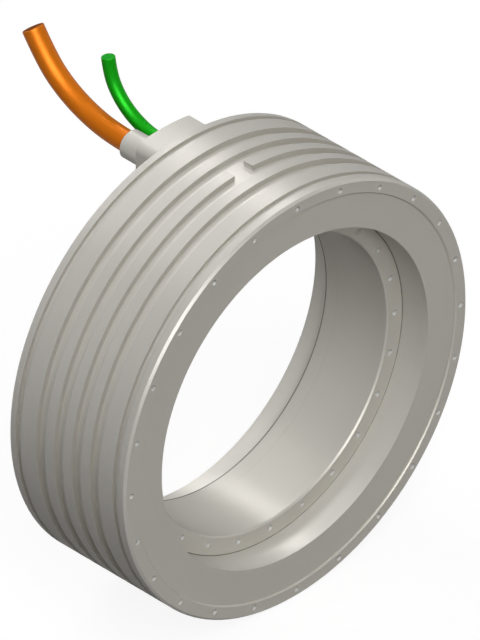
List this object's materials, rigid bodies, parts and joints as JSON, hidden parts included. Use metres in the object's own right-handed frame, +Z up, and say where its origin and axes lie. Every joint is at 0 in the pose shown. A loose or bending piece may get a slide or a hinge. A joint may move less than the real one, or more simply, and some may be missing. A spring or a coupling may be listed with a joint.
{
  "type": "frameless motor",
  "caption": "Frameless ring motor: a grooved cooling jacket round a wound stator, a magnet rotor with a wide open bore, and short cables from an outlet block on the rear face.",
  "frame": {"origin": "centre of the front mounting face of the stator, on the axis of rotation", "axes": "+Y is the axis of rotation, from the front face towards the rear where the cables leave; +Z is up, through the cable outlet; +X is to the right seen from the front"},
  "size_m": [0.385, 0.2868, 0.4295],
  "materials": {
    "jacket_steel": "turned, satin",
    "laminations": "stacked sheets, matt",
    "insulation_paper": "matt",
    "wedge_laminate": "matt",
    "enamelled_copper": "varnished",
    "bare_copper": "bright",
    "cover_grey": "satin",
    "sensor_bead": "matt",
    "outlet_metal": "bead blasted",
    "seal_rubber": "matt",
    "screw_steel": "bright",
    "orange_sheath": "matt sheath",
    "green_sheath": "matt sheath",
    "rotor_steel": "turned, satin",
    "magnets": "nickel plated",
    "bandage": "wound fibre in resin"
  },
  "bodies": {
    "stator": {"cooling_jacket": "jacket_steel", "stator_core": "laminations", "slot_liners": "insulation_paper", "slot_wedges": "wedge_laminate", "coils_phase_u": "enamelled_copper", "coils_phase_v": "enamelled_copper", "coils_phase_w": "enamelled_copper", "copper_ring_u": "bare_copper", "copper_ring_v": "bare_copper", "copper_ring_w": "bare_copper", "star_point_ring": "bare_copper", "front_winding_cover": "cover_grey", "rear_winding_cover": "cover_grey", "phase_leads": "bare_copper", "temperature_sensors": "sensor_bead", "sensor_wires": "sensor_bead", "cable_outlet": "outlet_metal", "outlet_seal": "seal_rubber", "outlet_screws": "screw_steel", "power_sleeve": "outlet_metal", "signal_bush": "seal_rubber", "power_cable": "orange_sheath", "signal_cable": "green_sheath"},
    "rotor": {"rotor_ring": "rotor_steel", "north_magnets": "magnets", "south_magnets": "magnets", "magnet_bandage": "bandage", "front_end_ring": "rotor_steel", "rear_end_ring": "rotor_steel"}
  },
  "joints": [
    {"name": "rotor_spin", "type": "hinge", "parent": "stator", "child": "rotor", "pos_m": [0, 0.065, 0], "axis": [0, 1, 0], "continuous": true}
  ]
}
